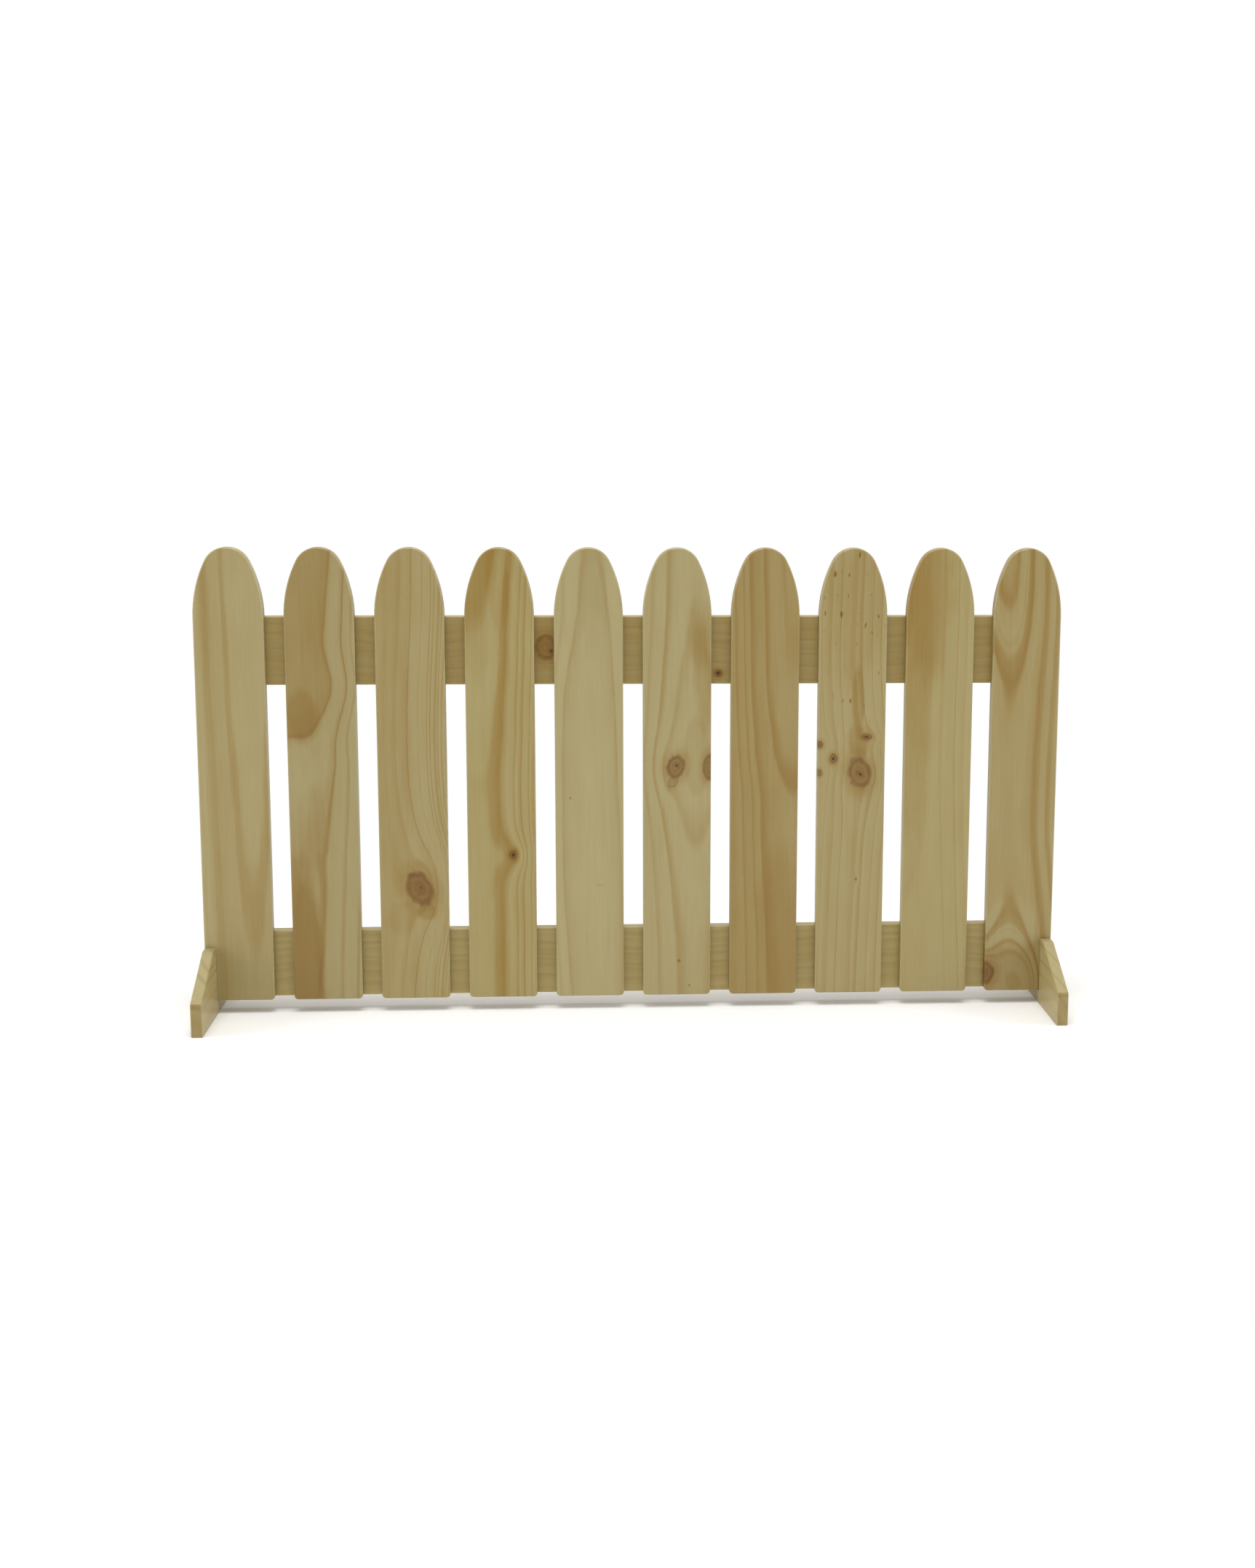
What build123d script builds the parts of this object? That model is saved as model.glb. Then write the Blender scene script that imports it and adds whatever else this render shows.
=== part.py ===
from build123d import *
from math import atan2, degrees
import os

# Wooden garden fence: ten arched pickets on two rails, standing in two notched feet.
# Millimetres. X runs along the panel, -Y is its front and +Z is up. The origin is on
# the floor under the middle of the panel, in the plane where pickets and rails meet.

# Planed board that every piece is sawn from
board_width = 90.0
board_thickness = 15.0
arris = 1.5

# Pickets
picket_count = 10
picket_length = 600.0
picket_gap = 26.0
picket_corner_radius = 5.0
arch_rise = 90.0
nose_radius = 31.0

# Rails, screwed to the backs of the pickets
bottom_rail_rise = 1.5

# Feet, each one board on edge, notched from the top to take the panel
foot_length = 250.0
foot_end_height = 44.0
foot_land = 15.0
foot_corner_radius = 5.0
foot_edge_radius = 2.0
notch_floor = 18.0
notch_clearance = 1.0

# Places that follow from the sizes above
panel_length = picket_count * board_width + (picket_count - 1) * picket_gap
panel_end = panel_length / 2
picket_pitch = board_width + picket_gap
springing = picket_length - arch_rise
bottom_rail_base = notch_floor + bottom_rail_rise
top_rail_base = notch_floor + springing - board_width
notch_width = 2 * (board_thickness + notch_clearance)

# Three-centred arch: the flanks start upright at the board's edges and meet the nose
# in a common tangent, which fixes their radius and the angle that each turns through.
half_width = board_width / 2
nose_centre = arch_rise - nose_radius
flank_radius = (half_width**2 + nose_centre**2 - nose_radius**2) / (2 * (half_width - nose_radius))
flank_turn = degrees(atan2(nose_centre, flank_radius - half_width))

os.makedirs("parts", exist_ok=True)

# Pickets, numbered from the left
for number in range(1, picket_count + 1):
    picket_centre = (number - 1) * picket_pitch + half_width - panel_end
    picket_back = Plane(origin=(picket_centre, 0, notch_floor), x_dir=(1, 0, 0), z_dir=(0, -1, 0))
    with BuildPart() as picket:
        with BuildSketch(picket_back) as picket_outline:
            with BuildLine():
                sides = Polyline(
                    (-half_width, springing),
                    (-half_width, 0),
                    (half_width, 0),
                    (half_width, springing),
                )
                right_flank = JernArc(sides @ 1, (0, 1), flank_radius, flank_turn)
                nose = JernArc(right_flank @ 1, right_flank % 1, nose_radius, 180 - 2 * flank_turn)
                JernArc(nose @ 1, nose % 1, flank_radius, flank_turn)
            make_face()
            fillet(picket_outline.vertices().group_by(Axis.Y)[0], picket_corner_radius)
        extrude(amount=board_thickness)
        picket_faces = picket.faces().filter_by(Axis.Y)
        chamfer(picket_faces.edges(), arris)
    picket.part.label = f"picket_{number:02d}"
    export_step(picket.part, f"parts/{picket.part.label}.step")

# Rails
for rail_name, rail_base in (("bottom_rail", bottom_rail_base), ("top_rail", top_rail_base)):
    rail_end = Plane(origin=(-panel_end, 0, rail_base), x_dir=(0, 1, 0), z_dir=(1, 0, 0))
    with BuildPart() as rail:
        with BuildSketch(rail_end):
            Rectangle(board_thickness, board_width, align=(Align.MIN, Align.MIN))
        extrude(amount=panel_length)
        chamfer(rail.edges(), arris)
    rail.part.label = rail_name
    export_step(rail.part, f"parts/{rail_name}.step")

# Feet, with their outer faces flush with the ends of the panel
for foot_name, foot_side in (("left_foot", -panel_end), ("right_foot", panel_end - board_thickness)):
    foot_face = Plane(origin=(foot_side, 0, 0), x_dir=(0, 1, 0), z_dir=(1, 0, 0))
    with BuildPart() as foot:
        with BuildSketch(foot_face) as foot_outline:
            with BuildLine():
                Polyline(
                    (0, 0),
                    (foot_length / 2, 0),
                    (foot_length / 2, foot_end_height),
                    (notch_width / 2 + foot_land, board_width),
                    (0, board_width),
                )
                mirror(about=Plane.YZ)
            make_face()
            upper_corners = foot_outline.vertices().sort_by(Axis.Y)[2:]
            fillet(upper_corners, foot_corner_radius)
        extrude(amount=board_thickness)
        foot_sides = foot.faces().filter_by(Axis.X)
        fillet(foot_sides.edges(), foot_edge_radius)
        with BuildSketch(foot_face):
            with Locations((0, notch_floor)):
                Rectangle(notch_width, board_width - notch_floor, align=(Align.CENTER, Align.MIN))
        extrude(amount=board_thickness, mode=Mode.SUBTRACT)
    foot.part.label = foot_name
    export_step(foot.part, f"parts/{foot_name}.step")
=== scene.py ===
import math
from functools import partial

import bpy
import numpy as np
from mathutils import Matrix, Vector


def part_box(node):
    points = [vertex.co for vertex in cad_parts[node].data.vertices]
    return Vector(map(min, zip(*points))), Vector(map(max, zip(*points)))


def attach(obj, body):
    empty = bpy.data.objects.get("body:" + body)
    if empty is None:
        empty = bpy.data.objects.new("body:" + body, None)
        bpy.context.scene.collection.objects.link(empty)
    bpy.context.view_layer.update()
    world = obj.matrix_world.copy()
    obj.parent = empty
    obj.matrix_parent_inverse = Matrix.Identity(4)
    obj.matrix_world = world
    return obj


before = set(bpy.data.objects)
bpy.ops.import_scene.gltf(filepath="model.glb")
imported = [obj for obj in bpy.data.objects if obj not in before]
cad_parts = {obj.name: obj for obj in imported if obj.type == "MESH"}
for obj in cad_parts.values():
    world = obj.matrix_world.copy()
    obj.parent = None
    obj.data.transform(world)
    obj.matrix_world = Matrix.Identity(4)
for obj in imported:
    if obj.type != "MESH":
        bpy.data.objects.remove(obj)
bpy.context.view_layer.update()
scene = bpy.context.scene


# The camera stands a little left of the middle, above the pickets' tops, and looks slightly
# down and to the right. Its place and angles were worked out from the edges of the boards
# in the photograph, which is 1725 x 2156 pixels. The lens is the one that gives that view.
photo_width = 1725
photo_height = 2156
focal_pixels = 2779.9
optical_centre = (992.5, 1052.5)
camera_place = Vector((-0.0595, -2.6557, 0.7564))
turn_right = math.radians(3.840)
look_down = math.radians(9.136)
roll = math.radians(0.291)
sensor = 36.0

camera_data = bpy.data.cameras.new("camera")
camera_data.sensor_width = sensor
camera_data.lens = focal_pixels / photo_height * sensor
camera_data.shift_x = (photo_width / 2 - optical_centre[0]) / photo_height
camera_data.shift_y = (optical_centre[1] - photo_height / 2) / photo_height
camera = bpy.data.objects.new("camera", camera_data)
camera.matrix_world = (
    Matrix.Translation(camera_place)
    @ Matrix.Rotation(-turn_right, 4, "Z")
    @ Matrix.Rotation(math.pi / 2 - look_down, 4, "X")
    @ Matrix.Rotation(roll, 4, "Z")
)
scene.collection.objects.link(camera)
scene.camera = camera
scene.view_settings.view_transform = "Standard"


# Plain studio light: an even pale sky, one large soft lamp high above, and a weak one at
# each side that reaches the inner faces of the feet. What the camera sees of the sky, also
# in gloss and through clear pieces, is white. Each lamp: name, width, watts, place, target.
sky_strength = 0.63
white_strength = 1.0
plain_white = (1.0, 1.0, 1.0, 1.0)
lamp_list = [
    ("lamp_above", 3.2, 141.0, (-0.2, -1.0, 5.0), (0.0, 0.0, 0.25)),
    ("lamp_left", 1.2, 15.5, (-2.6, -0.45, 0.9), (0.5, -0.1, 0.1)),
    ("lamp_right", 1.2, 15.5, (2.6, -0.45, 0.9), (-0.5, -0.1, 0.1)),
]

world = bpy.data.worlds.new("studio")
world.use_nodes = True
scene.world = world
world_nodes = world.node_tree.nodes
world_links = world.node_tree.links
world_nodes.clear()
sky = world_nodes.new("ShaderNodeBackground")
sky.inputs["Color"].default_value = plain_white
sky.inputs["Strength"].default_value = sky_strength
white = world_nodes.new("ShaderNodeBackground")
white.inputs["Color"].default_value = plain_white
white.inputs["Strength"].default_value = white_strength
path = world_nodes.new("ShaderNodeLightPath")
seen = path.outputs["Is Camera Ray"]
for kind_of_ray in ("Is Glossy Ray", "Is Transmission Ray"):
    either = world_nodes.new("ShaderNodeMath")
    either.operation = "MAXIMUM"
    world_links.new(seen, either.inputs[0])
    world_links.new(path.outputs[kind_of_ray], either.inputs[1])
    seen = either.outputs[0]
choice = world_nodes.new("ShaderNodeMixShader")
world_links.new(seen, choice.inputs["Fac"])
world_links.new(sky.outputs[0], choice.inputs[1])
world_links.new(white.outputs[0], choice.inputs[2])
world_output = world_nodes.new("ShaderNodeOutputWorld")
world_links.new(choice.outputs[0], world_output.inputs["Surface"])

for name, width, watts, place, target in lamp_list:
    lamp_data = bpy.data.lights.new(name, "AREA")
    lamp_data.shape = "DISK"
    lamp_data.size = width
    lamp_data.energy = watts
    lamp = bpy.data.objects.new(name, lamp_data)
    lamp.location = place
    lamp.rotation_euler = (Vector(target) - Vector(place)).to_track_quat("-Z", "Y").to_euler()
    scene.collection.objects.link(lamp)


# The floor is matt and nearly white near the fence, where it takes the fence's soft shadow.
# Further out it fades to the white of the sky, so that no edge or horizon shows.
floor_half = 40.0
floor_colour = (0.94, 0.94, 0.94, 1.0)
shadow_reach = 0.6
fade_reach = 1.3

corners = [(floor_half * x, floor_half * y, 0) for x, y in ((-1, -1), (1, -1), (1, 1), (-1, 1))]
floor_mesh = bpy.data.meshes.new("floor")
floor_mesh.from_pydata(corners, [], [(0, 1, 2, 3)])
floor = bpy.data.objects.new("floor", floor_mesh)
scene.collection.objects.link(floor)
floor_material = bpy.data.materials.new("studio_floor")
floor_material.use_nodes = True
floor_tree = floor_material.node_tree
floor_tree.nodes.clear()
floor_place = floor_tree.nodes.new("ShaderNodeTexCoord")
floor_distance = floor_tree.nodes.new("ShaderNodeVectorMath")
floor_distance.operation = "LENGTH"
floor_tree.links.new(floor_place.outputs["Object"], floor_distance.inputs[0])
floor_fade = floor_tree.nodes.new("ShaderNodeMapRange")
floor_fade.interpolation_type = "SMOOTHSTEP"
floor_fade.inputs["From Min"].default_value = shadow_reach
floor_fade.inputs["From Max"].default_value = fade_reach
floor_tree.links.new(floor_distance.outputs["Value"], floor_fade.inputs["Value"])
floor_path = floor_tree.nodes.new("ShaderNodeLightPath")
floor_share = floor_tree.nodes.new("ShaderNodeMath")
floor_share.operation = "MULTIPLY"
floor_tree.links.new(floor_fade.outputs["Result"], floor_share.inputs[0])
floor_tree.links.new(floor_path.outputs["Is Camera Ray"], floor_share.inputs[1])
floor_matt = floor_tree.nodes.new("ShaderNodeBsdfDiffuse")
floor_matt.inputs["Color"].default_value = floor_colour
floor_white = floor_tree.nodes.new("ShaderNodeEmission")
floor_white.inputs["Strength"].default_value = white_strength
floor_mix = floor_tree.nodes.new("ShaderNodeMixShader")
floor_tree.links.new(floor_share.outputs[0], floor_mix.inputs["Fac"])
floor_tree.links.new(floor_matt.outputs[0], floor_mix.inputs[1])
floor_tree.links.new(floor_white.outputs[0], floor_mix.inputs[2])
floor_output = floor_tree.nodes.new("ShaderNodeOutputMaterial")
floor_tree.links.new(floor_mix.outputs[0], floor_output.inputs["Surface"])
floor_mesh.materials.append(floor_material)


# Pickets: planed pine boards, sawn to a round-topped arch, their arrises broken, then
# varnished clear. Each was sawn from its own place in a log, so its growth rings are worked
# out from where the heart of the tree lay along the board.
#
# For each board, in mm:
#   heart   where the heart lay: (up the board, across from its middle, behind its face)
#   rings   what the wood is like at a distance from the heart: (distance, tone), where
#           tone 0 is the palest early wood and 1 is amber late wood
#   knots   (across, up, half width, half length, lean in degrees, darkness, of its pith);
#           a knot without darkness lies under the face and only swells the rings
#   stains  darker or paler patches: (across, up, half width, half length, added tone)
#   ground  tone added all over
# and, where a board needs them:
#   left reach  how far left of the heart the rings go on; beyond it the wood stays the same
#   swell       how many mm the rings are pushed outwards round the knots
#   ducts       where resin ducts show: (across, up, half width, half length, added tone)
#   lightness, saturation   the colour's brightness and saturation; 1 is the colour of wood_tones; on the rails
#                           they are painted light that lifts the shade between the pickets
#   painted face light   painted light: tone and lightness added on the wide faces, lifting their shade
picket_boards = [
    {
        "heart": [(0, 22, 62), (85, 21, 60), (200, 23, 57.2), (350, 23, 54.5), (600, 23, 51.3)],
        "rings": [(50, 0.18), (57, 0.20), (59.0, 0.46), (60.3, 0.48), (61.8, 0.30), (66, 0.32),
                  (70, 0.34), (73, 0.46), (76, 0.42), (78.5, 0.28), (82, 0.16), (86, 0.22),
                  (87, 0.16)],
        "knots": [],
        "stains": [(-32, 500, 10, 70, 0.10)],
        "ground": 0.0,
    },
    {
        "heart": [(0, -24, 73), (50, -23, 73), (100, -21, 73), (150, -18, 73), (200, -15, 73),
                  (300, -17, 68), (350, -27, 60), (380, -30, 51), (400, -30, 44), (420, -30, 39.5),
                  (440, -30, 42), (470, -30, 47.5), (500, -30, 46.8), (550, -30, 42.8),
                  (600, -30, 38)],
        "rings": [(30, 0.50), (45, 0.50), (56, 0.60), (58.8, 0.80), (60.5, 0.40), (63, 0.28),
                  (70, 0.25), (73.4, 0.40), (74.8, 0.72), (76.3, 0.28), (82, 0.22), (84.8, 0.45),
                  (86.5, 0.18), (94, 0.2), (97, 0.50), (98.5, 0.2)],
        "knots": [],
        "stains": [(-26, 382, 24, 30, 0.25), (-30, 60, 22, 125, 0.42), (-11, 240, 11, 50, 0.12),
                   (-30, 310, 22, 34, -0.08)],
        "ground": 0.0,
        "left reach": 4.0,
        "lightness": 0.95,
    },
    {
        "heart": [(0, -92, 25), (200, -92, 25), (250, -95, 25), (400, -94, 25), (500, -88, 25),
                  (600, -85, 25)],
        "rings": [(60, 0.38), (70, 0.28), (78, 0.42), (80, 0.28), (91, 0.38), (92.5, 0.65),
                  (93.8, 0.32), (104, 0.25), (106, 0.40), (107, 0.25), (116, 0.30), (117.3, 0.60),
                  (118.3, 0.22), (122, 0.50), (123, 0.22), (128.5, 0.55), (129.5, 0.25),
                  (132, 0.50), (133, 0.20), (137, 0.50), (138, 0.20), (142, 0.45)],
        "knots": [(7, 150, 17, 24, 22, 0.88, 0.10), (9, 151, 5, 8, 22, 0.5, 0.5)],
        "stains": [(-20, 380, 18, 230, 0.10), (16, 118, 12, 10, 0.20), (-15, 110, 20, 22, 0.12)],
        "ground": 0.0,
        "swell": 22.0,
    },
    {
        "heart": [(0, -26, 47.5), (110, -26, 47.5), (185, -27, 47.8), (250, -28, 48.4),
                  (300, -28, 49), (350, -28, 46.8), (400, -28, 45), (450, -28, 42), (495, -28, 40),
                  (560, -28, 36), (600, -28, 32)],
        "rings": [(28, 0.60), (35, 0.62), (38.2, 0.64), (41.5, 0.30), (45, 0.18), (48.4, 0.24),
                  (51.0, 0.56), (54.4, 0.70), (57.8, 0.40), (60.4, 0.22), (64, 0.28), (66.3, 0.48),
                  (68.2, 0.22), (71, 0.36), (72.6, 0.58), (74.2, 0.25), (79, 0.25), (80.5, 0.50),
                  (81.5, 0.20), (86, 0.45), (87, 0.22), (92, 0.40)],
        "knots": [(15, 194, 5.5, 6.5, 0, 0.9, 1.0)],
        "stains": [(-2, 560, 14, 70, 0.18)],
        "ground": 0.0,
        "left reach": 4.0,
        "swell": 11.0,
        "saturation": 1.05,
    },
    {
        "heart": [(0, 10, 49.5), (100, 6, 47), (200, 3, 46.7), (280, 1.5, 48), (350, 1, 49),
                  (420, 1, 51.5), (455, 3, 53.7), (510, 5.5, 56.8), (575, 4, 58.7), (600, 4, 59.3)],
        "rings": [(40, 0.05), (46, 0.05), (52, 0.08), (56, 0.14), (58.6, 0.24), (59.9, 0.38),
                  (61.4, 0.08), (66, 0.05), (69.5, 0.22), (71, 0.05), (80, 0.08)],
        "knots": [(-25, 270, 1.2, 1.4, 0, 0.5, 0.3), (14, 152, 3.5, 0.6, 0, 0.3, 0)],
        "stains": [],
        "ground": 0.0,
    },
    {
        "heart": [(0, 25, 67.7), (100, 25, 66), (205, 25, 60), (260, 25, 54), (310, 25, 47),
                  (378, 25, 52), (460, 25, 57), (500, 25, 59), (600, 25, 61)],
        "rings": [(44, 0.10), (50.8, 0.24), (52.8, 0.08), (55.5, 0.10), (58.8, 0.30), (61.0, 0.06),
                  (66, 0.08), (71, 0.42), (72.7, 0.08), (79, 0.10), (83.6, 0.30), (85, 0.12)],
        "knots": [(-1.5, 311, 12, 16, -15, 0.80, 0), (-0.5, 313, 4, 4, 0, 0.8, 0.8),
                  (43, 310, 9, 17, 0, 0.75, 0), (-5, 291, 6, 9, -35, 0.40, 0),
                  (3, 47, 1.5, 1.8, 0, 0.6, 0.3), (17, 13, 1.3, 1.5, 0, 0.5, 0.2)],
        "stains": [(40, 440, 18, 80, 0.25), (29, 492, 15, 48, 0.10)],
        "ground": 0.05,
    },
    {
        "heart": [(0, 38, 66.7), (100, 38, 64.7), (200, 38, 61.6), (275, 38, 60), (320, 38, 55.2),
                  (370, 38, 51.4), (420, 38, 48), (500, 38, 46), (600, 38, 43.6)],
        "rings": [(40, 0.40), (45, 0.42), (46.8, 0.56), (48.6, 0.42), (54, 0.44), (59.2, 0.78),
                  (60.8, 0.46), (66, 0.52), (73.3, 0.78), (74.9, 0.48), (78, 0.48), (80.5, 0.70),
                  (81.7, 0.48), (86, 0.50), (90, 0.70), (91.2, 0.48), (97, 0.55), (100, 0.60)],
        "knots": [],
        "stains": [(22, 90, 30, 110, 0.12)],
        "ground": 0.0,
    },
    {
        "heart": [(0, -112, 20), (150, -108, 20), (300, -105, 20), (450, -110, 20),
                  (600, -108, 20)],
        "rings": [(60, 0.28), (71, 0.28), (72, 0.45), (73, 0.22), (84, 0.42), (85, 0.22),
                  (94, 0.28), (95.5, 0.50), (96.7, 0.22), (107, 0.28), (111, 0.38), (114.5, 0.40),
                  (117, 0.22), (124, 0.48), (125, 0.22), (136, 0.30), (137, 0.50), (138, 0.22),
                  (147, 0.30), (149, 0.50), (150, 0.22)],
        "knots": [(-24, 321, 5, 7, 0, 0.75, 0.9), (11, 302, 15, 21, 14, 0.74, 0),
                  (12, 300, 6.5, 3.5, -38, 0.9, 1.0), (20, 350, 7, 4, 0, 0.8, 0.8),
                  (-43, 340, 5, 5, 0, 0.85, 0.4), (-43, 302, 4, 5, 0, 0.7, 0.2),
                  (8.5, 157, 1.2, 1.5, 0, 0.6, 0.3)],
        "stains": [(8, 400, 8, 42, 0.30), (0, 520, 44, 90, 0.12), (10, 345, 16, 22, 0.25)],
        "ground": 0.0,
        "swell": 6.0,
        "ducts": (0, 490, 60, 135, 0.85),
    },
    {
        "heart": [(0, -138, 15), (100, -142, 15), (300, -150, 15), (500, -148, 15),
                  (600, -148, 15)],
        "rings": [(90, 0.25), (105, 0.25), (120, 0.22), (150, 0.18), (155, 0.30), (156, 0.18),
                  (171, 0.22), (173, 0.42), (174.3, 0.15), (185, 0.28), (186.5, 0.14), (200, 0.18)],
        "knots": [],
        "stains": [(-30, 400, 20, 230, 0.14), (-20, 560, 36, 120, 0.22), (-25, 500, 24, 170, 0.12)],
        "ground": 0.02,
        "saturation": 1.03,
    },
    {
        "heart": [(0, -6, 52), (60, -8, 52), (110, -10, 52), (200, -20, 52.5), (300, -20, 53.5),
                  (360, -20, 52.5), (425, -20, 50), (475, -22, 45), (527, -25, 40),
                  (575, -28, 37.1), (600, -29, 36)],
        "rings": [(8, 0.42), (15, 0.44), (19, 0.62), (21.5, 0.42), (29, 0.42), (33.5, 0.64),
                  (35.5, 0.44), (37.6, 0.50), (39.6, 0.76), (41.6, 0.38), (44, 0.34), (45, 0.44),
                  (46, 0.38), (48, 0.70), (50.2, 0.84), (52.4, 0.38), (56, 0.34), (60.4, 0.42),
                  (64, 0.72), (66.8, 0.60), (69, 0.36), (73, 0.32), (76, 0.60), (78.6, 0.50),
                  (80.4, 0.30), (84, 0.40)],
        "knots": [(-45, 25, 12, 16, 0, 0.95, 0.0), (-45, 24, 4, 6, 0, 0.9, 0.5),
                  (4, 8, 8, 13, 0, 0.0, 0.0)],
        "stains": [(-12, 92, 36, 34, -0.18)],
        "ground": 0.0,
        "swell": 26.0,
    },
]
# Millimetres in a metre, and a length in mm that is further than any heart lies to the side
# of any point of its board
mm = 1000.0
far_reach = 200.0
x_axis, y_axis, z_axis = 0, 1, 2
place_inputs = ("across", "along", "through")


def maths(tree, operation, *values):
    """One Math node. Each value is a number or the output of another node."""
    node = tree.nodes.new("ShaderNodeMath")
    node.operation = operation
    for socket, value in zip(node.inputs, values):
        if isinstance(value, bpy.types.NodeSocket):
            tree.links.new(value, socket)
        else:
            socket.default_value = value
    return node.outputs[0]


def squares(tree, one, other):
    """one^2 + other^2"""
    one_squared, other_squared = (maths(tree, "MULTIPLY", value, value) for value in (one, other))
    return maths(tree, "ADD", one_squared, other_squared)


def step_between(tree, value, start, end):
    """0 before start and 1 after end, with a smooth S between; start may be the larger."""
    node = tree.nodes.new("ShaderNodeMapRange")
    node.interpolation_type = "SMOOTHSTEP"
    tree.links.new(value, node.inputs["Value"])
    node.inputs["From Min"].default_value = start
    node.inputs["From Max"].default_value = end
    return node.outputs["Result"]


def stretched_noise(tree, axes, cell, seed, detail=2.0):
    """Noise from -1 to 1 whose patches are about cell = (across, along, through) mm in size."""
    place = tree.nodes.new("ShaderNodeCombineXYZ")
    for socket, axis, size in zip(place.inputs, axes, cell):
        tree.links.new(maths(tree, "DIVIDE", axis, size), socket)
    noise = tree.nodes.new("ShaderNodeTexNoise")
    noise.noise_dimensions = "4D"
    noise.inputs["Scale"].default_value = 1.0
    noise.inputs["Detail"].default_value = detail
    tree.links.new(place.outputs[0], noise.inputs["Vector"])
    tree.links.new(seed, noise.inputs["W"])
    return maths(tree, "MULTIPLY_ADD", noise.outputs["Fac"], 2.0, -1.0)


def effect_group(name, inputs, outputs):
    """An empty node group with the inputs and outputs named: numbers, apart from a colour."""
    tree = bpy.data.node_groups.new(name, "ShaderNodeTree")
    for label in inputs:
        tree.interface.new_socket(label, in_out="INPUT", socket_type="NodeSocketFloat")
    for label in outputs:
        kind = "NodeSocketColor" if label == "colour" else "NodeSocketFloat"
        tree.interface.new_socket(label, in_out="OUTPUT", socket_type=kind)
    source = tree.nodes.new("NodeGroupInput")
    result = tree.nodes.new("NodeGroupOutput")
    return tree, source.outputs, result.inputs


def use_group(tree, group, **values):
    """Places a node group in a tree; each value is a number or the output of another node."""
    node = tree.nodes.new("ShaderNodeGroup")
    node.node_tree = group
    for label, value in values.items():
        socket = node.inputs[label.replace("_", " ")]
        if isinstance(value, bpy.types.NodeSocket):
            tree.links.new(value, socket)
        else:
            socket.default_value = value
    return node.outputs


def make_growth_group():
    """Distance from the heart: the square root of (across - heart across)^2 plus
    (heart behind - through)^2, with slow waves along the board and a fine ripple, less the
    swell that pushes the rings outwards round a knot."""
    wave_cell, wave_height = (48, 150, 48), 1.2
    ripple_cell, ripple_height = (7, 60, 7), 0.20

    inputs = place_inputs + ("heart across", "heart behind", "left reach", "swell", "seed")
    tree, given, made = effect_group("growth_radius", inputs, ("radius",))
    calc = partial(maths, tree)
    axes = [given[label] for label in place_inputs]
    sideways = calc("SUBTRACT", given["across"], given["heart across"])
    sideways = calc("MAXIMUM", sideways, calc("MULTIPLY", given["left reach"], -1.0))
    inwards = calc("SUBTRACT", given["heart behind"], given["through"])
    waves = stretched_noise(tree, axes, wave_cell, given["seed"])
    ripple = stretched_noise(tree, axes, ripple_cell, given["seed"])
    swing = calc("MULTIPLY_ADD", ripple, ripple_height, calc("MULTIPLY", waves, wave_height))
    swing = calc("SUBTRACT", swing, given["swell"])
    distance = calc("SQRT", squares(tree, sideways, inwards))
    tree.links.new(calc("ADD", distance, swing), made["radius"])
    return tree


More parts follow.
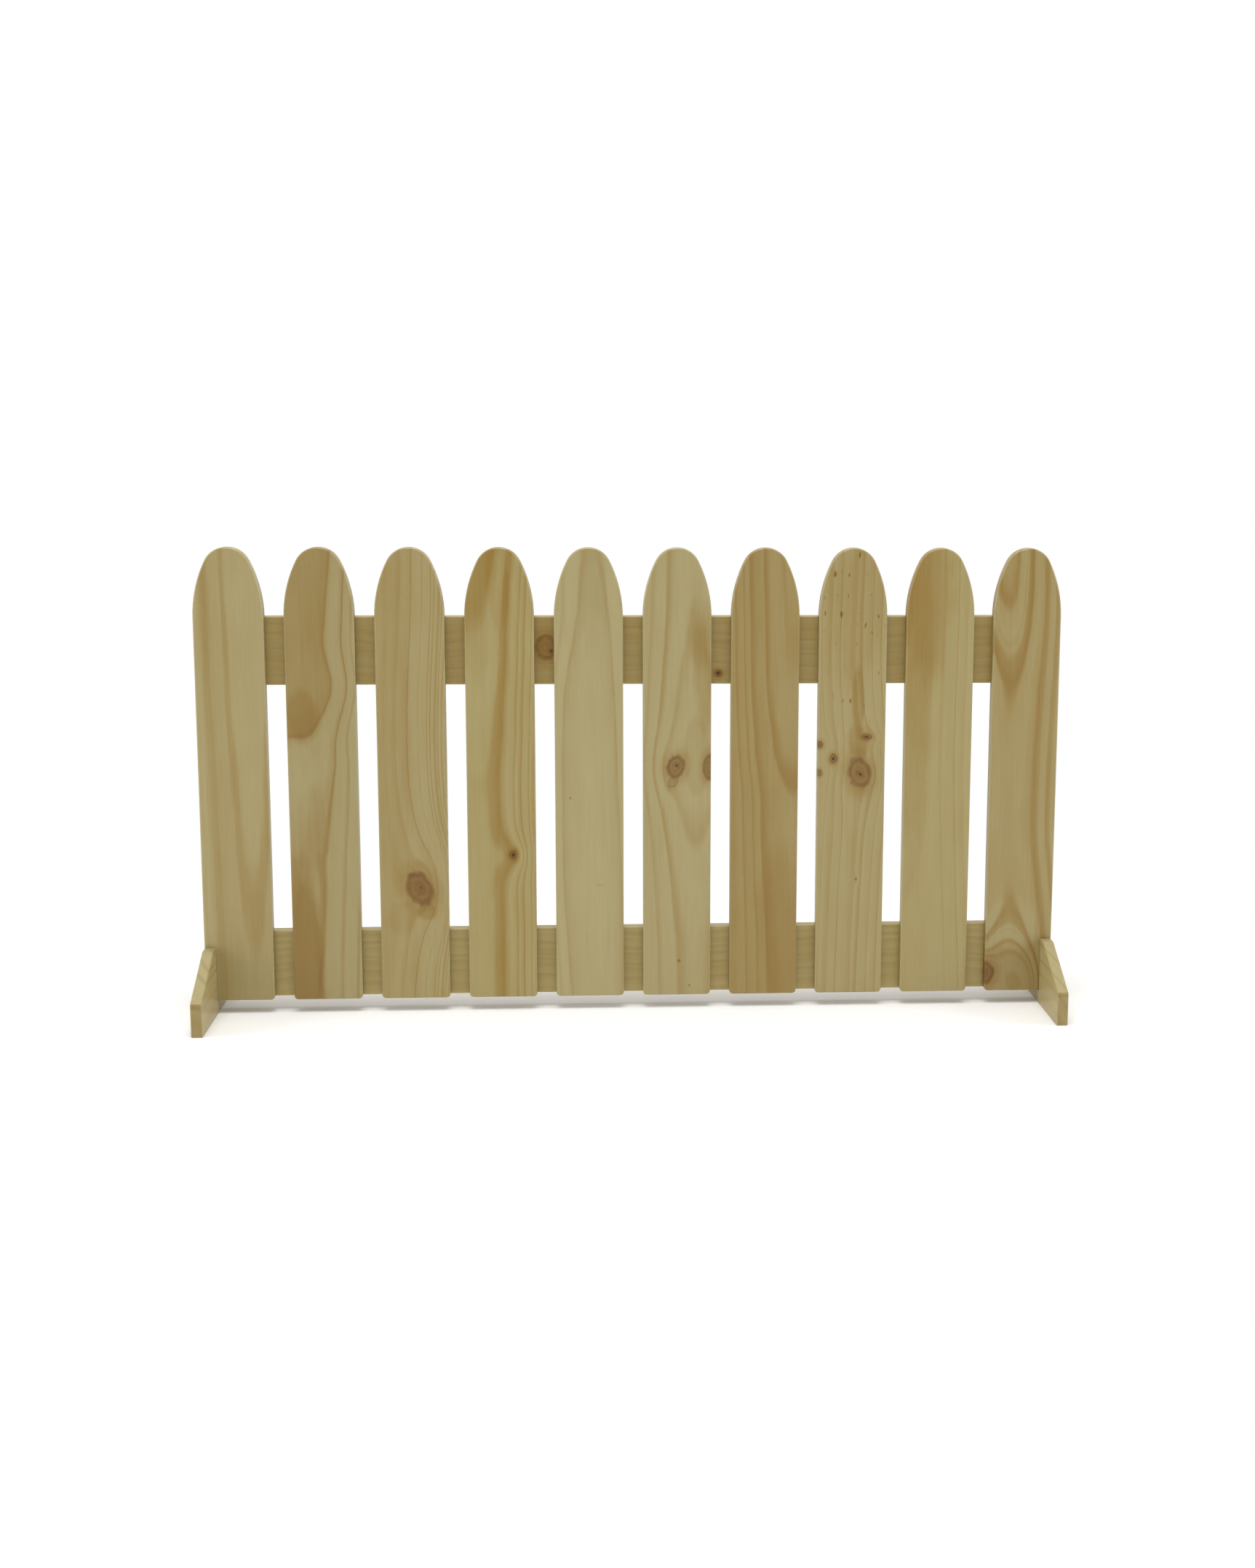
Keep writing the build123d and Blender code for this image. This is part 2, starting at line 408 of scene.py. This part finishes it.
def make_knot_group():
    """A knot: an ellipse whose edge is at a distance of 1, made uneven by noise. The grain
    spreads and the rings swell round it by bell curves, e to the power of -(wide^2 + long^2).
    Its small rings are a sine of the distance, and its parts are steps of the distance."""
    edge_cell, edge_unevenness = (7, 11, 30), 0.26
    patch_cell, patch_detail = (13, 16, 30), 1.0
    patch_contrast, patch_middle = 1.1, 0.72
    spread_reach, spread_strength = (1.7, 2.3), -0.8
    swell_reach = (3.6, 3.75)
    core_edge, pith_edge, halo_edge = (1.18, 0.72), (0.62, 0.22), (2.2, 0.8)
    rim_inside, rim_outside = (0.55, 0.88), (1.15, 0.88)
    ring_turns = 14.0

    inputs = place_inputs + (
        "middle across", "middle along", "half width", "half length", "lean", "seed",
    )
    outputs = ("spread", "swell", "core", "rings", "rim", "pith", "halo")
    tree, given, made = effect_group("knot", inputs, outputs)
    calc = partial(maths, tree)
    axes = [given[label] for label in place_inputs]
    right = calc("SUBTRACT", given["across"], given["middle across"])
    up = calc("SUBTRACT", given["along"], given["middle along"])
    cosine, sine = calc("COSINE", given["lean"]), calc("SINE", given["lean"])
    turned_right = calc("ADD", calc("MULTIPLY", right, cosine), calc("MULTIPLY", up, sine))
    turned_up = calc("SUBTRACT", calc("MULTIPLY", up, cosine), calc("MULTIPLY", right, sine))
    share_right = calc("DIVIDE", turned_right, given["half width"])
    share_up = calc("DIVIDE", turned_up, given["half length"])
    distance = calc("SQRT", squares(tree, share_right, share_up))
    uneven = stretched_noise(tree, axes, edge_cell, given["seed"])
    distance = calc("MULTIPLY_ADD", uneven, edge_unevenness, distance)
    patches = stretched_noise(tree, axes, patch_cell, given["seed"], patch_detail)
    patches = calc("MULTIPLY_ADD", patches, patch_contrast, patch_middle)

    def bell(width_share, length_share):
        """1 at the knot's middle, and 1/e at these shares of its half sizes."""
        wide = calc("DIVIDE", right, calc("MULTIPLY", given["half width"], width_share))
        long = calc("DIVIDE", up, calc("MULTIPLY", given["half length"], length_share))
        return calc("EXPONENT", calc("MULTIPLY", squares(tree, wide, long), -1.0))

    spread = calc("MULTIPLY", calc("MULTIPLY", right, bell(*spread_reach)), spread_strength)
    turns = calc("SINE", calc("MULTIPLY", distance, ring_turns))
    turns = calc("MULTIPLY_ADD", turns, 0.5, 0.5)  # from -1..1 to 0..1
    inside_rim = step_between(tree, distance, *rim_inside)
    rim = calc("MULTIPLY", inside_rim, step_between(tree, distance, *rim_outside))
    tree.links.new(spread, made["spread"])
    tree.links.new(bell(*swell_reach), made["swell"])
    tree.links.new(step_between(tree, distance, *core_edge), made["core"])
    tree.links.new(calc("MULTIPLY", turns, patches), made["rings"])
    tree.links.new(calc("MULTIPLY", rim, patches), made["rim"])
    tree.links.new(step_between(tree, distance, *pith_edge), made["pith"])
    tree.links.new(step_between(tree, distance, *halo_edge), made["halo"])
    return tree


def make_stain_group():
    """A stain: an ellipse whose edge is at a distance of 1, uneven by noise, and soft."""
    edge_cell, edge_unevenness, edge = (16, 60, 40), 0.45, (1.30, 0.70)

    inputs = place_inputs + ("middle across", "middle along", "half width", "half length", "seed")
    tree, given, made = effect_group("stain", inputs, ("mask",))
    calc = partial(maths, tree)
    axes = [given[label] for label in place_inputs]
    right = calc("SUBTRACT", given["across"], given["middle across"])
    right = calc("DIVIDE", right, given["half width"])
    up = calc("SUBTRACT", given["along"], given["middle along"])
    up = calc("DIVIDE", up, given["half length"])
    distance = calc("SQRT", squares(tree, right, up))
    uneven = stretched_noise(tree, axes, edge_cell, given["seed"])
    distance = calc("MULTIPLY_ADD", uneven, edge_unevenness, distance)
    tree.links.new(step_between(tree, distance, *edge), made["mask"])
    return tree


def make_fibre_group():
    """Fine and broad streaks along the grain, slow clouding, and the short dark dashes of
    resin ducts, each a noise stretched along the board."""
    fine_cell, fine_detail = (1.5, 55, 1.5), 3.0
    broad_cell, broad_detail, broad_share = (5, 160, 5), 1.0, 0.7
    cloud_cell = (24, 85, 24)
    duct_cell, duct_detail, duct_edge = (4.5, 13, 4.5), 0.0, (0.42, 0.60)

    tree, given, made = effect_group("fibre", place_inputs + ("seed",), ("streak", "cloud", "dash"))
    axes = [given[label] for label in place_inputs]
    fine = stretched_noise(tree, axes, fine_cell, given["seed"], fine_detail)
    broad = stretched_noise(tree, axes, broad_cell, given["seed"], broad_detail)
    ducts = stretched_noise(tree, axes, duct_cell, given["seed"], duct_detail)
    tree.links.new(maths(tree, "MULTIPLY_ADD", broad, broad_share, fine), made["streak"])
    tree.links.new(stretched_noise(tree, axes, cloud_cell, given["seed"]), made["cloud"])
    tree.links.new(step_between(tree, ducts, *duct_edge), made["dash"])
    return tree


def make_pine_group():
    """The colour of pine under clear varnish, and its height for the bump. The tone, with
    what the streaks, ducts, knots' halos, end grain and arrises add to it, is looked up in
    wood_tones. A knot is brown, with small paler rings, a darker rim and a dark pith."""
    wood_tones = [
        (0.00, (0.390, 0.330, 0.155, 1.0)),
        (0.20, (0.350, 0.280, 0.118, 1.0)),
        (0.40, (0.308, 0.220, 0.072, 1.0)),
        (0.60, (0.272, 0.172, 0.040, 1.0)),
        (0.80, (0.240, 0.140, 0.024, 1.0)),
        (1.00, (0.170, 0.085, 0.014, 1.0)),
    ]
    knot_brown = (0.185, 0.088, 0.010, 1.0)
    knot_rim = (0.130, 0.056, 0.006, 1.0)
    knot_pith = (0.050, 0.017, 0.003, 1.0)
    added_tones = {"streak": 0.11, "dash": 1.0, "halo": 0.40, "end": 0.30, "arris": -0.18}
    lookup_share = 0.8
    paler_rings = -0.30
    streak_height, dash_height = 0.35, -0.5

    inputs = (
        "tone", "streak", "dash", "core", "rings", "rim", "pith", "halo", "end", "arris",
        "lightness", "saturation",
    )
    tree, given, made = effect_group("pine_colour", inputs, ("colour", "height"))
    calc = partial(maths, tree)
    tone = given["tone"]
    for label, share in added_tones.items():
        tone = calc("MULTIPLY_ADD", given[label], share, tone)
    lookup = tree.nodes.new("ShaderNodeValToRGB")
    while len(lookup.color_ramp.elements) < len(wood_tones):
        lookup.color_ramp.elements.new(0.5)
    for element, (position, colour) in zip(lookup.color_ramp.elements, wood_tones):
        element.position = position
        element.color = colour
    tree.links.new(calc("MULTIPLY", tone, lookup_share), lookup.inputs["Fac"])
    painted = lookup.outputs["Color"]
    core = calc("MULTIPLY", given["core"], calc("MULTIPLY_ADD", given["rings"], paler_rings, 1.0))
    for share, colour in ((core, knot_brown), (given["rim"], knot_rim), (given["pith"], knot_pith)):
        # Sockets 0, 6 and 7 of this node are the share and the two colours
        mix = tree.nodes.new("ShaderNodeMix")
        mix.data_type = "RGBA"
        tree.links.new(share, mix.inputs[0])
        tree.links.new(painted, mix.inputs[6])
        mix.inputs[7].default_value = colour
        painted = mix.outputs[2]
    graded = tree.nodes.new("ShaderNodeHueSaturation")
    tree.links.new(painted, graded.inputs["Color"])
    tree.links.new(given["lightness"], graded.inputs["Value"])
    tree.links.new(given["saturation"], graded.inputs["Saturation"])
    tree.links.new(graded.outputs["Color"], made["colour"])
    raised = calc("MULTIPLY_ADD", given["streak"], streak_height, given["tone"])
    tree.links.new(calc("MULTIPLY_ADD", given["dash"], dash_height, raised), made["height"])
    return tree


growth_group = make_growth_group()
knot_group = make_knot_group()
stain_group = make_stain_group()
fibre_group = make_fibre_group()
pine_group = make_pine_group()


def board_places(tree, origin, directions):
    """How far a point lies across, along and through its board, in mm, and how squarely it
    faces along and through it, from 0 to 1. origin is the board's zero in the frame, in
    metres, and directions gives the frame's axis and sense of across, along and through."""
    place = tree.nodes.new("ShaderNodeTexCoord")
    moved = tree.nodes.new("ShaderNodeVectorMath")
    moved.operation = "SUBTRACT"
    moved.inputs[1].default_value = origin
    tree.links.new(place.outputs["Object"], moved.inputs[0])
    parts = tree.nodes.new("ShaderNodeSeparateXYZ")
    tree.links.new(moved.outputs[0], parts.inputs[0])
    axes = {
        label: maths(tree, "MULTIPLY", parts.outputs[axis], sense * mm)
        for label, (axis, sense) in zip(place_inputs, directions)
    }
    facing = tree.nodes.new("ShaderNodeSeparateXYZ")
    tree.links.new(place.outputs["Normal"], facing.inputs[0])
    facing_along, facing_through = (
        maths(tree, "ABSOLUTE", facing.outputs[axis]) for axis, sense in directions[1:]
    )
    return axes, facing_along, facing_through


def ramp_of(tree, value, low, high, stops, interpolation):
    """A ramp over low..high whose stops are (value, colour)."""
    node = tree.nodes.new("ShaderNodeValToRGB")
    ramp = node.color_ramp
    ramp.interpolation = interpolation
    span = high - low
    while len(ramp.elements) < len(stops):
        ramp.elements.new(0.5)
    for element, (place, colour) in zip(ramp.elements, stops):
        element.position = (place - low) / span
        element.color = colour
    share = maths(tree, "DIVIDE", maths(tree, "SUBTRACT", value, low), span)
    tree.links.new(share, node.inputs["Fac"])
    return node.outputs["Color"]


def heart_of_tree(tree, along, heart, length):
    """Where the heart lay beside each point: across, and how far behind the face. A smooth
    ramp along the board holds the first in red, from -far_reach up, and the second in green."""
    path = [
        (up, ((side + far_reach) / (2 * far_reach), behind / far_reach, 0, 1))
        for up, side, behind in heart
    ]
    parts = tree.nodes.new("ShaderNodeSeparateColor")
    tree.links.new(ramp_of(tree, along, 0.0, length, path, "CARDINAL"), parts.inputs[0])
    heart_across = maths(tree, "MULTIPLY_ADD", parts.outputs[0], 2 * far_reach, -far_reach)
    heart_behind = maths(tree, "MULTIPLY", parts.outputs[1], far_reach)
    return heart_across, heart_behind


def knots_of_board(tree, axes, board, seed):
    """What a board's knots do together: the place across from which a point takes its rings,
    how far the rings are swollen there, and the strongest of each of the knots' marks."""
    seed_step = 0.37
    rim_share = 0.8
    across, swell = axes["across"], 0.0
    marks = dict.fromkeys(("core", "rings", "rim", "pith", "halo"), 0.0)
    for index, (side, up, half_width, half_length, lean, dark, middle) in enumerate(board["knots"]):
        knot = use_group(
            tree, knot_group, **axes, middle_across=side, middle_along=up, half_width=half_width,
            half_length=half_length, lean=math.radians(lean), seed=seed + seed_step * index,
        )
        across = maths(tree, "ADD", across, knot["spread"])
        swell = maths(tree, "MULTIPLY_ADD", knot["swell"], board.get("swell", 0.0), swell)
        shares = {
            "core": dark, "rings": knot["core"], "rim": rim_share * dark, "pith": middle,
            "halo": dark,
        }
        for label, share in shares.items():
            mark = maths(tree, "MULTIPLY", knot[label], share)
            marks[label] = maths(tree, "MAXIMUM", marks[label], mark)
    return across, swell, marks


def stain_mask(tree, axes, side, up, half_width, half_length, seed):
    """1 inside an ellipse on a board and 0 outside it."""
    stain = use_group(
        tree, stain_group, **axes, middle_across=side, middle_along=up, half_width=half_width,
        half_length=half_length, seed=seed,
    )
    return stain["mask"]


def board_material(name, board, origin, directions, seed, length):
    """Varnished pine for one board: the rings, clouds and stains make the tone, and knots,
    streaks and ducts lie on it. Saw cuts across the grain drink more varnish and are darker,
    and broken arrises are paler. origin and directions are those of board_places."""
    cloud_tone = 0.10
    fibre_seed, duct_seed, stain_seed_step = 3.1, 7.7, 0.53
    ducts_all_over = (0, length / 2, 60, length / 2, 0.05)
    end_facing, wide_facing = (0.55, 0.95), (0.95, 0.99)
    arris_outer, arris_inner = (0.25, 0.55), (0.98, 0.88)
    clear_varnish = {
        "Roughness": 0.45, "Specular IOR Level": 0.35, "Coat Weight": 0.15, "Coat Roughness": 0.15,
    }
    bump_strength, bump_distance = 0.35, 0.0002

    material = bpy.data.materials.new(name)
    material.use_nodes = True
    tree = material.node_tree
    calc = partial(maths, tree)
    axes, facing_along, facing_through = board_places(tree, origin, directions)
    heart_across, heart_behind = heart_of_tree(tree, axes["along"], board["heart"], length)
    across, swell, marks = knots_of_board(tree, axes, board, seed)
    growth = use_group(
        tree, growth_group, across=across, along=axes["along"], through=axes["through"],
        heart_across=heart_across, heart_behind=heart_behind,
        left_reach=board.get("left reach", far_reach), swell=swell, seed=seed,
    )
    rings = board["rings"]
    shades = [(radius, (tone, tone, tone, 1)) for radius, tone in rings]
    tone = ramp_of(tree, growth["radius"], rings[0][0], rings[-1][0], shades, "EASE")
    fibre = use_group(tree, fibre_group, **axes, seed=seed + fibre_seed)
    tone = calc("MULTIPLY_ADD", fibre["cloud"], cloud_tone, calc("ADD", tone, board["ground"]))
    for index, (*ellipse, added) in enumerate(board["stains"]):
        mask = stain_mask(tree, axes, *ellipse, seed + stain_seed_step * index)
        tone = calc("MULTIPLY_ADD", mask, added, tone)
    *ellipse, strength = board.get("ducts", ducts_all_over)
    mask = stain_mask(tree, axes, *ellipse, seed + duct_seed)
    dash = calc("MULTIPLY", calc("MULTIPLY", fibre["dash"], strength), mask)

    end_grain = step_between(tree, facing_along, *end_facing)
    wide_face = step_between(tree, facing_through, *wide_facing)
    arris = calc(
        "MINIMUM",
        step_between(tree, facing_through, *arris_outer),
        step_between(tree, facing_through, *arris_inner),
    )
    # Painted light: the wide faces of a board may be made warmer and lighter, to lift their shade
    painted_face_tone, painted_face_lightness = board.get("painted face light", (0.0, 0.0))
    tone = calc("MULTIPLY_ADD", wide_face, painted_face_tone, tone)
    lightness = calc("MULTIPLY_ADD", wide_face, painted_face_lightness, board.get("lightness", 1.0))
    pine = use_group(
        tree, pine_group, tone=tone, streak=fibre["streak"], dash=dash, **marks, end=end_grain,
        arris=arris, lightness=lightness, saturation=board.get("saturation", 1.0),
    )

    shader = tree.nodes["Principled BSDF"]
    for label, value in clear_varnish.items():
        shader.inputs[label].default_value = value
    tree.links.new(pine["colour"], shader.inputs["Base Color"])
    bump = tree.nodes.new("ShaderNodeBump")
    bump.inputs["Strength"].default_value = bump_strength
    bump.inputs["Distance"].default_value = bump_distance
    tree.links.new(pine["height"], bump.inputs["Height"])
    tree.links.new(bump.outputs["Normal"], shader.inputs["Normal"])
    return material


def give_material(node, material):
    """Puts one material on a CAD node in place of its plain one."""
    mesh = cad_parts[node].data
    mesh.materials.clear()
    mesh.materials.append(material)


# A picket's zero is at the middle of its lower end, on its front. Every board's noise has a
# seed of its own.
board_seed_step = 10.0
for index, board in enumerate(picket_boards):
    node = f"picket_{index + 1:02d}"
    low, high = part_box(node)
    origin = ((low.x + high.x) / 2, low.y, low.z)
    directions = ((x_axis, 1), (z_axis, 1), (y_axis, 1))
    length = (high.z - low.z) * mm
    seed = board_seed_step * index
    give_material(node, board_material(f"pine_{node}", board, origin, directions, seed, length))


# Rails: two of the same pine boards, planed and varnished, laid on edge behind the pickets
# and screwed to each of them. Only short stretches of their fronts show between the pickets.
rail_boards = {
    "top_rail": {
        "heart": [(0, 62, 40), (150, 54, 37), (300, 46, 38), (420, 50, 43), (560, 61, 41),
                  (700, 55, 38), (850, 47, 39), (980, 52, 44), (1134, 62, 42)],
        "rings": [(20, 0.36), (25, 0.40), (27, 0.46), (28.4, 0.36), (33, 0.40), (35, 0.48),
                  (36.6, 0.36), (44, 0.44), (46, 0.38), (49, 0.42), (51.5, 0.50), (53.2, 0.36),
                  (61, 0.44), (63, 0.38), (66, 0.46), (68, 0.36), (77, 0.42), (79.5, 0.49),
                  (81.2, 0.36), (91, 0.44), (93, 0.38), (97, 0.47), (98.8, 0.36), (109, 0.44),
                  (111, 0.36), (120, 0.40)],
        "knots": [(4, 453, 17, 14, 0, 0.70, 0), (-1, 460, 4, 4, 0, 0.9, 0.9),
                  (-31, 680, 5, 5, 0, 0.95, 1.0), (14, 268, 9, 12, 20, 0.80, 0.40),
                  (-18, 861, 5, 7, 0, 0.85, 0.80)],
        "stains": [],
        "ground": 0.04,
        "swell": 7.0,
        # Painted light: lighter and more saturated, to lift the shade that the pickets cast on the
        # rail
        "lightness": 1.13,
        "saturation": 1.05,
    },
    "bottom_rail": {
        "heart": [(0, -70, 35), (170, -60, 33), (320, -52, 36), (470, -58, 38), (620, -68, 34),
                  (780, -58, 33), (930, -50, 36), (1040, -58, 37), (1134, -66, 35)],
        "rings": [(20, 0.30), (30, 0.36), (32, 0.42), (33.6, 0.28), (42, 0.36), (44.5, 0.28),
                  (51, 0.34), (53.5, 0.42), (55, 0.28), (64, 0.38), (66, 0.30), (70, 0.40),
                  (71.8, 0.28), (82, 0.36), (84, 0.28), (90, 0.42), (92, 0.27), (100, 0.35),
                  (102, 0.27), (109, 0.38), (111, 0.26), (125, 0.34)],
        "knots": [(-12, 165, 10, 14, 15, 0.80, 0.40), (19, 628, 4, 5, 0, 0.90, 0.80),
                  (-8, 972, 7, 9, 0, 0.80, 0.50)],
        "stains": [],
        "ground": 0.0,
        "swell": 7.0,
        # Painted light: lighter and more saturated, to lift the shade that the pickets cast on the
        # rail
        "lightness": 1.20,
        "saturation": 1.06,
    },
}
# A rail's zero is at the middle of its left end, on its front, and its across points up
rail_seed = 200.0
for index, (node, board) in enumerate(rail_boards.items()):
    low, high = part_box(node)
    origin = (low.x, low.y, (low.z + high.z) / 2)
    directions = ((z_axis, 1), (x_axis, 1), (y_axis, 1))
    length = (high.x - low.x) * mm
    seed = rail_seed + board_seed_step * index
    give_material(node, board_material(f"pine_{node}", board, origin, directions, seed, length))


# Feet: two short lengths of the same pine board on edge, sawn to sloping ends and notched
# from the top, where the panel is pushed in. The slopes cut across the growth rings, which
# show there as slanting bands.
# Their wide faces are made warmer and lighter: painted light that lifts the shade on the feet's
# inner faces
foot_boards = {
    "left_foot": {
        "heart": [(0, 100, 60), (125, 101, 60), (250, 99, 61)],
        "rings": [(60, 0.16), (73, 0.30), (76, 0.05), (83.2, 0.05), (86.2, 0.36), (89.4, 0.04),
                  (92.4, 0.05), (95.6, 0.36), (98.8, 0.06), (105, 0.12), (108, 0.18), (111, 0.1),
                  (120, 0.24), (123, 0.12), (138, 0.26), (150, 0.2)],
        "knots": [],
        "stains": [(42, 100, 8, 12, 0.15), (-4, 0, 4, 5, 0.16)],
        "ground": -0.06,
        "lightness": 0.95,
        "painted face light": (0.16, 0.18),
    },
    "right_foot": {
        "heart": [(0, -80, 115), (125, -81, 115), (250, -79, 116)],
        "rings": [(95, 0.15), (112, 0.22), (116, 0.08), (124, 0.12), (127, 0.24), (130.5, 0.06),
                  (137, 0.05), (139.9, 0.32), (142.8, 0.05), (148, 0.08), (149.5, 0.13),
                  (151, 0.05), (152.4, 0.06), (155.2, 0.34), (158, 0.08), (170, 0.2)],
        "knots": [],
        "stains": [(-3, 0, 3, 4, 0.20)],
        "ground": -0.06,
        "lightness": 0.95,
        "painted face light": (0.16, 0.18),
    },
}
# A foot's zero is at the middle of its front end, on its outer face, and its across points up
foot_seed = 300.0
for index, (node, board) in enumerate(foot_boards.items()):
    low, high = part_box(node)
    outer_face, inwards = (low.x, 1) if node == "left_foot" else (high.x, -1)
    origin = (outer_face, low.y, (low.z + high.z) / 2)
    directions = ((z_axis, 1), (y_axis, 1), (x_axis, inwards))
    length = (high.y - low.y) * mm
    seed = foot_seed + board_seed_step * index
    give_material(node, board_material(f"pine_{node}", board, origin, directions, seed, length))


# Screws: zinc-plated countersunk wood screws, driven from the back through each rail into
# each picket, two to a crossing and out of line so that the boards don't split. Their heads
# are flush with the wood and have a cross-shaped drive.
head_radius = 0.0042
head_proud = 0.0002
rim_drop = 0.0006
flat_share = 0.82
cross_reach = 0.0024
cross_half = 0.00045
cross_depth = 0.0014
cross_side_wall = 0.00015
cross_end_wall = 0.0004
screw_across, screw_up = 0.016, 0.022
ring_count, spoke_count = 22, 48
turn_seed = 7
zinc_dark = (0.42, 0.41, 0.37, 1.0)
zinc_pale = (0.66, 0.64, 0.58, 1.0)
zinc_contrast = (0.3, 0.7)
zinc_roughness = (0.28, 0.50)
zinc_cloud_scale = 900.0

# Height over a head as a function of radius and angle: flat, rounded down to the rim by a
# quarter of an ellipse, and sunk in the cross, where each arm's sides and ends are steep walls
radius, angle = np.meshgrid(
    np.linspace(0.0, head_radius, ring_count),
    np.linspace(0, 2 * math.pi, spoke_count, endpoint=False),
    indexing="ij",
)
head_x, head_z = radius * np.cos(angle), radius * np.sin(angle)
outwards = np.clip((radius / head_radius - flat_share) / (1 - flat_share), 0, 1)
head_y = head_proud - rim_drop * (1 - np.sqrt(1 - outwards**2))
for one, other in ((head_x, head_z), (head_z, head_x)):
    side_wall = np.clip((cross_half - np.abs(one)) / cross_side_wall + 0.5, 0, 1)
    end_wall = np.clip((cross_reach - np.abs(other)) / cross_end_wall + 0.5, 0, 1)
    head_y = np.minimum(head_y, head_proud - cross_depth * side_wall * end_wall)
ring_start = np.arange(ring_count - 1)[:, None] * spoke_count
spoke = np.arange(spoke_count)[None, :]
inner, turned = ring_start + spoke, ring_start + (spoke + 1) % spoke_count
head_faces = np.stack([inner, turned, turned + spoke_count, inner + spoke_count], -1).reshape(-1, 4)

chance = np.random.default_rng(turn_seed)
points, faces = [], []
for rail in ("bottom_rail", "top_rail"):
    rail_low, rail_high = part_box(rail)
    for index in range(len(picket_boards)):
        picket_low, picket_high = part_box(f"picket_{index + 1:02d}")
        for sign in (-1, 1):
            turn = chance.uniform(0, math.pi / 2)
            x = (picket_low.x + picket_high.x) / 2 + sign * screw_across
            z = (rail_low.z + rail_high.z) / 2 + sign * screw_up
            place = np.stack(
                [
                    x + head_x * math.cos(turn) - head_z * math.sin(turn),
                    rail_high.y + head_y,
                    z + head_x * math.sin(turn) + head_z * math.cos(turn),
                ],
                -1,
            )
            faces.append(head_faces + len(points) * head_x.size)
            points.append(place.reshape(-1, 3))
screw_mesh = bpy.data.meshes.new("rail_screws")
screw_mesh.from_pydata(np.concatenate(points).tolist(), [], np.concatenate(faces).tolist())
screw_mesh.polygons.foreach_set("use_smooth", [True] * len(screw_mesh.polygons))
screws = bpy.data.objects.new("rail_screws", screw_mesh)
scene.collection.objects.link(screws)

zinc = bpy.data.materials.new("zinc_plate")
zinc.use_nodes = True
zinc_tree = zinc.node_tree
zinc_shader = zinc_tree.nodes["Principled BSDF"]
zinc_shader.inputs["Metallic"].default_value = 1.0
zinc_place = zinc_tree.nodes.new("ShaderNodeTexCoord")
zinc_cloud = zinc_tree.nodes.new("ShaderNodeTexNoise")
zinc_cloud.inputs["Scale"].default_value = zinc_cloud_scale
zinc_tree.links.new(zinc_place.outputs["Object"], zinc_cloud.inputs["Vector"])
zinc_colours = zinc_tree.nodes.new("ShaderNodeValToRGB")
for element, position, colour in zip(
    zinc_colours.color_ramp.elements, zinc_contrast, (zinc_dark, zinc_pale)
):
    element.position = position
    element.color = colour
zinc_tree.links.new(zinc_cloud.outputs["Fac"], zinc_colours.inputs["Fac"])
zinc_tree.links.new(zinc_colours.outputs["Color"], zinc_shader.inputs["Base Color"])
zinc_rough = zinc_tree.nodes.new("ShaderNodeMapRange")
zinc_rough.inputs["To Min"].default_value = zinc_roughness[0]
zinc_rough.inputs["To Max"].default_value = zinc_roughness[1]
zinc_tree.links.new(zinc_cloud.outputs["Fac"], zinc_rough.inputs["Value"])
zinc_tree.links.new(zinc_rough.outputs["Result"], zinc_shader.inputs["Roughness"])
screw_mesh.materials.append(zinc)
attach(screws, "root")
